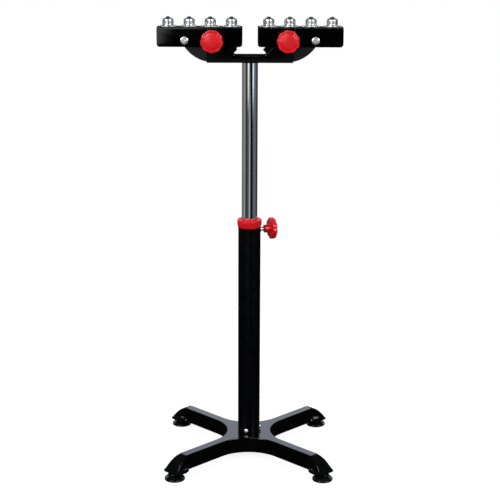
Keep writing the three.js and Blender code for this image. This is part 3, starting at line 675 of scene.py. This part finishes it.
collar_outline += [(collar_bore + 0.4, lip_top), (collar_bore, lip_top - 0.4)]
collar = turned(collar_outline, 128, closed=True)
sleeve_hole = moved(rod(insert_radius + clearance, hole_start, outer_radius, 32), clamp_axis)
fit("collar", worked(collar, ("DIFFERENCE", sleeve_hole)), red_plastic)

# Clamp: a flanged steel insert in the outer tube's wall and an M8 screw with a red lobed knob.
# The screw presses on the chrome tube. The knob is glossy red plastic moulded round the screw's end.
insert_flange, flange_height, screw_hole = 6.5, 1, 4.3
insert_low, insert_seat = inner_radius + 2 * clearance, outer_radius + clearance
insert_top = insert_seat + flange_height
insert = [(screw_hole, insert_low), (insert_radius, insert_low), (insert_radius, insert_seat),
          (insert_flange - 0.2, insert_seat), (insert_flange, insert_seat + 0.2),
          (insert_flange, insert_top - 0.3), (insert_flange - 0.3, insert_top),
          (screw_hole + 0.3, insert_top), (screw_hole, insert_top - 0.3)]
fit("clamp_nut", moved(turned(insert, 64, closed=True), clamp_axis), zinc)
knob_reach, clamp_grip, clamp_radius, clamp_pitch = 35, 12, 4, 1.25
clamp_screw = thread(clamp_radius, clamp_pitch, inner_radius + clearance, knob_reach + clamp_grip)
fit("clamp_screw", moved(clamp_screw, clamp_axis), zinc, thread_angle)

knob_radius, knob_lobes, lobe_depth, lobe_root, lobe_run = 24.5, 9, 1.5, 13, 7
hub_radius, hub_height, rim_height, knob_crown, bore_depth = 9, 13, 11, 1.6, 15
rim_front = hub_height + rim_height
knob_round, dome_radius, dome_edge = 3, 19.6, 22.8


def lobed_knob(screw):
    """Knob on its hub: back cone, rounded lobed rim, a groove and a domed front. The hub's face is at 0."""
    outline = [(0, bore_depth), (screw + clearance, bore_depth), (screw + clearance, 0.5), (screw + 0.8, 0)]
    outline += on_arc(hub_radius - 1, 1, 1, -90, 0, 4)
    outline += on_arc(hub_radius + 2, hub_height - 2, 2, 180, 90, 5)
    outline += [(16, hub_height + 0.1), (knob_radius - knob_round - 0.6, hub_height + 0.3)]
    outline += on_arc(knob_radius - knob_round, hub_height + knob_round + 0.3, knob_round, -80, 0, 6)
    outline += on_arc(knob_radius - knob_round, rim_front - knob_round, knob_round, 0, 90, 7)
    outline += [(21.2, rim_front - 0.1), (20.7, rim_front - 0.5),
                (20.3, dome_edge - 0.2), (19.9, dome_edge - 0.25)]
    crown = rim_front + knob_crown - dome_edge
    outline += [(dome_radius * i / 9, dome_edge + crown * (1 - (i / 9) ** 2)) for i in range(9, -1, -1)]
    made = turned(outline, knob_lobes * 16)
    for vertex in made.verts:
        reach = math.hypot(vertex.co.x, vertex.co.y)
        wave = 1 - abs(math.cos(knob_lobes * math.atan2(vertex.co.y, vertex.co.x) / 2))
        spread = min(1, max(0, (reach - lobe_root) / lobe_run))
        if reach > 0:
            squeeze = 1 - lobe_depth * wave * spread / reach
            vertex.co.x *= squeeze
            vertex.co.y *= squeeze
    return made


fit("clamp_knob", moved(lobed_knob(clamp_radius), shift(0, 0, knob_reach), clamp_axis), red_plastic)


# Inner tube: drawn steel tube, 35 mm across, polished and chrome-plated. It slides in the collar's sleeve.
# A black plastic guide is pressed on its lower end and a steel plug into its top; neither shows.
def mirror_chrome(name, colour, shine, drawn_marks, depth):
    """Chrome or polished steel with faint draw marks along the piece and a few dull specks."""
    finish = bpy.data.materials.new(name)
    tree = Tree(finish)
    marks = grain(tree, drawn_marks, 3, (1, 1, 0.06))
    specks = grain(tree, 420, 2)
    haze = grain(tree, 25, 3)
    dull = specks.fade(0.66, 0.74, 0, 0.12) + haze.fade(0.3, 0.7, 0, 0.03)
    coated(tree, {
        "Metallic": 1.0,
        "Base Color": tree.blend(haze.fade(0.3, 0.7), colour, tuple(0.94 * part for part in colour)),
        "Roughness": shine + dull,
        "Normal": relief(tree, marks, depth),
    })
    return finish


chrome = mirror_chrome("tube_chrome", (0.78, 0.8, 0.82), 0.05, 260, 0.00001)
inner_bore, inner_low, inner_top = 15.5, 430, 901.7
inner_wall = tube_outline(inner_radius, inner_bore, inner_low, inner_top)
fit("inner_tube", turned(inner_wall, 160, closed=True), chrome)
guide_plastic = moulded("guide_plastic", (0.02, 0.02, 0.02), (0.035, 0.035, 0.035), 0.45, 900)
for node, finish in (("inner_guide", guide_plastic), ("head_plug", zinc)):
    frame["nodes"][node].material_slots[0].material = finish


# Head bracket: a channel pressed from 3 mm sheet, with two ears in front and two behind for the pivots.
# One hexagon bolt down its middle holds it on the plug. It is sprayed semi-gloss black, its front left bare.
def channel(width, sheet_thick, bend, low, high, start, stop, opens_down):
    """Sheet bent to a channel along X, open below or above, with walls to the given heights."""
    half = width / 2
    inner = bend - sheet_thick
    floor_side, lip = (high, low) if opens_down else (low, high)
    into = -1 if opens_down else 1
    middle = floor_side + into * bend
    first, last = (0, 90) if opens_down else (0, -90)
    outside = [(half, lip)] + on_arc(half - bend, middle, bend, first, last, 5)
    outside += on_arc(bend - half, middle, bend, last, 2 * last, 5) + [(-half, lip)]
    inside = [(sheet_thick - half, lip)] + on_arc(bend - half, middle, inner, 2 * last, last, 5)
    inside += on_arc(half - bend, middle, inner, last, first, 5) + [(half - sheet_thick, lip)]
    along_x = Matrix(((0, 0, 1, 0), (1, 0, 0, 0), (0, 1, 0, 0), (0, 0, 0, 1)))
    return moved(slab(outside + inside, start, stop), along_x)


def upright(outline, near, far):
    """Plate of an outline of (x, z) pairs that stands across Y, from one side to the other."""
    across_y = Matrix(((1, 0, 0, 0), (0, 0, 1, 0), (0, 1, 0, 0), (0, 0, 0, 1)))
    return moved(slab(outline, near, far), across_y)


def pin(radius, near, far, x, z):
    """Cylinder along Y at a place, to cut a hole."""
    return moved(rod(radius, near, far, 40), turn(-90, "X"), shift(x, 0, z))


sheet_paint = black_paint("semi_gloss_sheet_paint", (0.0004, 0.0004, 0.0005), (0.0011, 0.0011, 0.0013),
                          0.03, 260, 0.000002, 0.4)
pivot_reach, pivot_height, pivot_radius = 81.5, 950, 5
pivot_hole = pivot_radius + clearance
bracket_low, bracket_sheet, bracket_width, bracket_bend = 902, 3, 44, 4.5
ear_radius, waist_rise, waist_round, bottom_cut, sheet_ease = 12, 15.5, 2.4, 1.6, 0.45
bracket_end = pivot_reach + ear_radius
waist = bracket_low + waist_rise
tangent = ear_radius * math.sqrt(0.5)
slope_foot = pivot_reach - tangent - (pivot_height + tangent - waist)
half_outline = [(bracket_end - bottom_cut, bracket_low), (bracket_end, bracket_low + bottom_cut)]
half_outline += on_arc(pivot_reach, pivot_height, ear_radius, 0, 135, 20)
half_outline += on_arc(slope_foot, waist + waist_round, waist_round, -45, -90, 4)
bracket_outline = half_outline + [(-x, z) for x, z in reversed(half_outline)]
bracket = channel(bracket_width, bracket_sheet, bracket_bend, bracket_low,
                  pivot_height + ear_radius + overrun, -bracket_end - overrun, bracket_end + overrun, False)
bolt_radius = 5
web_top = bracket_low + bracket_sheet
bracket_holes = [rod(bolt_radius + clearance, bracket_low - overrun, web_top + overrun, 40)]
for side in (-1, 1):
    hole = pin(pivot_hole, -bracket_width, bracket_width, side * pivot_reach, pivot_height)
    bracket_holes.append(hole)
bracket = worked(bracket, ("INTERSECT", upright(bracket_outline, -bracket_width, bracket_width)),
                 ("DIFFERENCE", together(*bracket_holes)), ("BEVEL", sheet_ease, 2))
fit("head_bracket", bracket, sheet_paint)


def hexagon_head(flats, low, high, chamfer_both=False):
    """Hexagon of a bolt or nut, its corners turned off at 30 degrees."""
    face, reach = 0.47 * flats, flats / math.sqrt(3)
    fall = (reach - face) * math.tan(math.radians(30)) * 1.6
    under = [(face, low), (reach + 1, low + fall)] if chamfer_both else [(reach + 1, low)]
    lathe = turned([(0, low)] + under + [(reach + 1, high - fall), (face, high), (0, high)], 72)
    return worked(slab(hexagon(flats), low, high), ("INTERSECT", lathe), ("BEVEL", 0.15, 2))


hex_flats, hex_height, bolt_grip = 16, 6.4, 16
bolt_seat = web_top + clearance
head_bolt = worked(hexagon_head(hex_flats, bolt_seat, bolt_seat + hex_height),
                   ("UNION", rod(bolt_radius, bracket_low - bolt_grip, bolt_seat + clearance, 48)))
fit("head_bolt", head_bolt, zinc)

# Wings: four 3 mm plates welded inside the bracket's ends. The arms lie on their flat or 45 degree edges,
# and the stop bolts' sleeves on their shelves. Each has an upright weld bead beside the bracket's end.
wing_outer, wing_sheet, wing_toe, wing_bead = 18.7, 3, 52, 3
arc_radius, arc_out, arc_up = 77, -4, 30
wing_stop, wing_crown, wing_shelf, shelf_up = 24.7, 18, 13, -7.8
stop_reach = 59
wing_floor = clearance + bracket_sheet - (pivot_height - bracket_low)
wing_toe_across, wing_toe_up = wing_toe + wing_stop, wing_toe - wing_stop


def arc_angle(up):
    """Angle on the wing's arc at a height."""
    return math.degrees(math.asin((up - arc_up) / arc_radius))


wing_outline = on_arc(0, 0, wing_stop, 135, 90, 16)
wing_outline += [(wing_crown, wing_stop), (stop_reach - wing_shelf, shelf_up)]
wing_outline += on_arc(arc_out, arc_up, arc_radius, arc_angle(shelf_up), arc_angle(wing_floor), 24)
wing_outline += [(-wing_toe * math.sqrt(2) - wing_floor, wing_floor),
                 (-wing_toe_across * math.sqrt(0.5), -wing_toe_up * math.sqrt(0.5))]
bead_rise, bead_height, bead_ripple, bead_rings = 7, 17, 1.7, 61
bead_low = wing_floor + bead_rise
ear_gap = ear_radius + clearance


def weld_bead(side, face):
    """Half-round bead with the ripples of its weld pool."""
    rings = []
    for i in range(bead_rings):
        share = i / (bead_rings - 1)
        swell = 0.88 + 0.12 * abs(math.sin(math.pi * share * bead_height / bead_ripple))
        size = wing_bead * swell * min(1, 0.35 + 6 * min(share, 1 - share))
        around = [(0, -clearance), (wing_bead, -clearance)] + on_arc(0, 0, size, 0, 90, 8)
        rings.append([(pivot_reach * side + side * (ear_gap + max(0, out)), face * (wing_outer + off),
                       pivot_height + bead_low + bead_height * share) for out, off in around])
    return drawn(rings)


# Wing paint with painted shade and painted light: the inner part, within 66 to 84 mm of the middle, is
# painted near black as shade. The outer part is a lighter grey, faintly mottled, that stands in for the light
# on it, and is also rougher.
wing_paint = bpy.data.materials.new("wing_paint_with_painted_shade")
paint = Tree(wing_paint)
across = abs(paint.node("SeparateXYZ", sockets={0: paint.node("TexCoord", output="Object")}))
unshaded_share = across.fade(0.066, 0.084)
mist = grain(paint, 45, 4).fade(0.3, 0.7)
painted_light_coat = paint.blend(mist, (0.0035, 0.0033, 0.0055), (0.0068, 0.0064, 0.0098))
coated(paint, {
    "Base Color": paint.blend(unshaded_share, (0.0006, 0.0006, 0.0008), painted_light_coat),
    "Roughness": 0.1 + unshaded_share * 0.3,
    "Specular IOR Level": 0.2,
    "Normal": relief(paint, grain(paint, 260, 2), 0.00002),
})
for side, side_name in sides:
    for face, face_name in ((-1, "front"), (1, "back")):
        near, far = sorted((face * wing_outer, face * (wing_outer - wing_sheet)))
        placed = [(side * (pivot_reach + out), pivot_height + up) for out, up in wing_outline]
        hole = pin(pivot_hole, near - overrun, far + overrun, side * pivot_reach, pivot_height)
        wing = worked(upright(placed, near, far), ("DIFFERENCE", hole), ("BEVEL", sheet_ease, 2),
                      ("UNION", weld_bead(side, face)))
        fit(f"wing_{side_name}_{face_name}", wing, wing_paint)
    frame["nodes"]["pivot_sleeve_" + side_name].material_slots[0].material = zinc

# Arms: channels pressed from 2.5 mm sheet, open below, that turn about the pivots outside the bracket.
# Their lower corners are rounded, and the web has holes for the ball units' screws.
channel_length, channel_inner, channel_width, channel_height = 183.5, 16.5, 50, 41
channel_sheet, channel_bend, channel_corner, channel_up, channel_ease = 2.5, 3.2, 6.5, 27.5, 0.4
stop_radius, ball_pitch, ball_first = 5, 45.5, 40
unit_screw, unit_spacing = 2, 33
screw_offsets = (-unit_spacing / 2, unit_spacing / 2)
channel_top = pivot_height + channel_up
channel_low, web_low = channel_top - channel_height, channel_top - channel_sheet
pin_holes = ((pivot_hole, pivot_reach), (stop_radius + clearance, pivot_reach + stop_reach))
unit_places = [ball_first + ball_pitch * i for i in range(4)]
for side, side_name in sides:
    inner_x, outer_x = sorted((side * channel_inner, side * (channel_inner + channel_length)))
    bent = channel(channel_width, channel_sheet, channel_bend, channel_low, channel_top,
                   inner_x, outer_x, True)
    outline = [(inner_x, channel_top + overrun)]
    outline += on_arc(inner_x + channel_corner, channel_low + channel_corner, channel_corner, 180, 270, 10)
    outline += on_arc(outer_x - channel_corner, channel_low + channel_corner, channel_corner, 270, 360, 10)
    outline += [(outer_x, channel_top + overrun)]
    holes = [pin(radius, -channel_width, channel_width, side * reach, pivot_height)
             for radius, reach in pin_holes]
    for place in unit_places:
        for offset in screw_offsets:
            hole = rod(unit_screw + clearance, web_low - overrun, channel_top + overrun, 20)
            holes.append(moved(hole, shift(side * place + offset, 0, 0)))
    arm = worked(bent, ("INTERSECT", upright(outline, -channel_width, channel_width)),
                 ("DIFFERENCE", together(*holes)), ("BEVEL", channel_ease, 2))
    fit("arm_channel_" + side_name, arm, sheet_paint)

# Pivots: a zinc-plated M10 mushroom-head bolt through each arm and the bracket's ears, with a washer and
# a red knob. The sleeve between the wings keeps them apart and is hidden.
arm_face = channel_width / 2
arm_seat = arm_face + clearance
washer_radius, washer_height, mushroom_radius, mushroom_height, pivot_grip = 12, 2, 10, 5, 12
knob_seat = arm_face + washer_height + 2 * clearance
knob_turns = {"left": 28, "right": 20}
bolt_end, mushroom_edge = -knob_seat - pivot_grip - clearance, 0.9
mushroom = [(0, bolt_end), (pivot_radius, bolt_end), (pivot_radius, arm_seat),
            (mushroom_radius - 0.4, arm_seat), (mushroom_radius, arm_seat + 0.4)]
mushroom += dome(mushroom_radius, arm_seat + mushroom_edge, mushroom_height - mushroom_edge, range(0, 91, 10))
washer_top = arm_seat + washer_height
washer = [(pivot_hole, arm_seat), (washer_radius - 0.3, arm_seat), (washer_radius, arm_seat + 0.3),
          (washer_radius, washer_top - 0.5), (washer_radius - 0.5, washer_top),
          (pivot_hole + 0.3, washer_top), (pivot_hole, washer_top - 0.3)]
for side, side_name in sides:
    pivot_place = shift(side * pivot_reach, 0, pivot_height)
    fit("pivot_bolt_" + side_name, moved(turned(mushroom, 64), turn(-90, "X"), pivot_place), zinc)
    ring = turned(washer, 64, closed=True)
    fit("pivot_washer_" + side_name, moved(ring, turn(90, "X"), pivot_place), zinc)
    knob = moved(lobed_knob(pivot_radius), turn(90, "X"), turn(-knob_turns[side_name], "Y"),
                 shift(0, -knob_seat, 0), pivot_place)
    fit("pivot_knob_" + side_name, knob, red_plastic)

# Stop bolts: M10 hexagon bolts through the arms, their heads behind, with bright lock nuts in front.
# The thread's end stands a little out of each nut, and a hidden sleeve keeps the arm's walls apart.
bright_zinc = plated("bright_zinc_plating", (0.6, 0.62, 0.61), (0.48, 0.5, 0.5), 0.36, 120, 0.00002)
nut_height, nut_hexagon, nut_ring, ring_round, stop_tail, stop_pitch = 8, 5.4, 7.2, 1.4, 2.5, 1.5
ring_low, ring_high = arm_seat + nut_hexagon - 1, arm_seat + nut_height
ring_outline = [(0, ring_low), (nut_ring, ring_low)]
ring_outline += on_arc(nut_ring - ring_round, ring_high - ring_round, ring_round, 0, 80, 5)
ring_outline += [(stop_radius + 0.6, ring_high - 0.1), (0, ring_high - 0.1)]
shank_end = arm_seat + nut_height + stop_tail
for side, side_name in sides:
    stop_place = shift(side * (pivot_reach + stop_reach), 0, pivot_height)
    nut = worked(hexagon_head(hex_flats, arm_seat, arm_seat + nut_hexagon, True),
                 ("UNION", turned(ring_outline, 64)),
                 ("DIFFERENCE", rod(stop_radius + clearance, 0, 2 * arm_face, 48)))
    fit("stop_nut_" + side_name, moved(nut, turn(90, "X"), stop_place), bright_zinc)
    tip = thread(stop_radius, stop_pitch, -shank_end, -arm_seat - 1, 32)
    shank = rod(stop_radius, -arm_seat - 1.2, arm_seat + clearance, 32)
    head = worked(hexagon_head(hex_flats, arm_seat, arm_seat + hex_height), ("UNION", shank))
    fit("stop_bolt_" + side_name, moved(together(head, tip), turn(-90, "X"), stop_place), bright_zinc)
    frame["nodes"]["stop_sleeve_" + side_name].material_slots[0].material = zinc

# Ball units: a pressed cup on an oval flange, bright zinc-plated, held on the arm by two small screws.
# A polished steel ball turns in each cup, on small bearing balls that don't show.
ball_radius, ball_rise, cup_height, cup_radius = 7.95, 14.25, 18.6, 12
cup_shoulder, cup_base, cup_base_height, cup_base_round, cup_fillet, cup_lip = 5, 15.5, 3.5, 0.9, 2.4, 0.9
flange_half, flange_round, flange_sheet = 20.5, 15.5, 1.6
unit_up = channel_top + clearance
socket_radius = ball_radius + clearance
lip_reach = math.sqrt(socket_radius ** 2 - (cup_height - ball_rise) ** 2)
lip_angle = math.degrees(math.atan2(cup_height - ball_rise, lip_reach))
shoulder_width = cup_radius - lip_reach - cup_lip
cup_outline = [(0, 0), (cup_base - 0.3, 0), (cup_base, 0.3)]
cup_outline += on_arc(cup_base - cup_base_round, cup_base_height - cup_base_round, cup_base_round, 0, 90, 4)
cup_outline += on_arc(cup_radius + cup_fillet, cup_base_height + cup_fillet, cup_fillet, -100, -180, 5)
shoulder = dome(shoulder_width, cup_height - cup_shoulder, cup_shoulder - 0.3, range(0, 91, 10))
cup_outline += [(lip_reach + cup_lip + out, up) for out, up in shoulder]
cup_outline += [(lip_reach + 0.6, cup_height), (lip_reach + 0.15, cup_height)]
cup_outline += on_arc(0, ball_rise, socket_radius, lip_angle - 1.5, -90, 12)
oval = on_arc(flange_half - flange_round, 0, flange_round, -90, 90, 24)
oval += on_arc(flange_round - flange_half, 0, flange_round, 90, 270, 24)
unit_head, unit_edge, unit_crown, unit_tail, tail_height = 3.3, 0.5, 1.3, 3, 1.4
unit_under = -channel_sheet - 2 * clearance
small_screw = [(0, unit_under - tail_height), (unit_tail, unit_under - tail_height), (unit_tail, unit_under),
               (unit_screw, unit_under), (unit_screw, flange_sheet / 2), (unit_head, flange_sheet / 2),
               (unit_head, flange_sheet + unit_edge)]
small_screw += dome(unit_head, flange_sheet + unit_edge, unit_crown, (25, 50, 70))
small_screw += [(0, flange_sheet + unit_edge + unit_crown)]
slot_reach, slot_half, slot_floor = 2.2, 0.4, 1.1
slot_plan = [(-slot_reach, -slot_half), (slot_reach, -slot_half), (slot_reach, slot_half),
             (-slot_reach, slot_half)]
screw_places = [shift(offset, 0, 0) for offset in screw_offsets]
cup_zinc = bpy.data.materials.new("cup_zinc_plating")
plating = Tree(cup_zinc)
height = plating.node("SeparateXYZ", sockets={0: plating.node("TexCoord", output="Object")}, output="Z")
# The flange is painted dark grey as shade. The shade fades into the zinc's mottled colour between 0.9 and 2.4
# mm above the flange's underside.
above_flange_shade = height.fade((unit_up + 0.9) / 1000, (unit_up + 2.4) / 1000)
mottle = grain(plating, 120, 4)
coated(plating, {
    "Metallic": 1.0,
    "Base Color": plating.blend(above_flange_shade, (0.13, 0.14, 0.14), plating.blend(
        mottle.fade(0.3, 0.7), (0.5, 0.53, 0.52), (0.68, 0.71, 0.69))),
    "Roughness": mottle.fade(0.25, 0.75, 0.36, 0.24),
    "Normal": relief(plating, grain(plating, 600, 2), 0.00002),
})
ball_steel = mirror_chrome("ball_steel", (0.8, 0.81, 0.82), 0.03, 300, 0.000002)


def ball_cup():
    """Cup, flange and cross-slotted screws, the flange's underside at 0."""
    flange = worked(slab(oval, 0, flange_sheet), ("BEVEL", 0.35, 2))
    cup = worked(turned(cup_outline, 80), ("UNION", flange))
    slot_cut = slab(slot_plan, flange_sheet + slot_floor, flange_sheet + 3)
    cross_cut = moved(slot_cut.copy(), turn(90, "Z"))
    screw = worked(turned(small_screw, 32), ("DIFFERENCE", slot_cut), ("DIFFERENCE", cross_cut))
    return worked(cup, ("UNION", copies(screw, screw_places)))


cup_mould = ball_cup()
for side, side_name in sides:
    for index, place in enumerate(unit_places, 1):
        unit_place = shift(side * place, 0, unit_up)
        fit(f"ball_cup_{side_name}_{index}", moved(cup_mould.copy(), unit_place), cup_zinc)
        ball = bmesh.new()
        bmesh.ops.create_uvsphere(ball, u_segments=48, v_segments=32, radius=ball_radius)
        fit(f"ball_{side_name}_{index}", moved(ball, shift(0, 0, ball_rise), unit_place), ball_steel)
cup_mould.free()
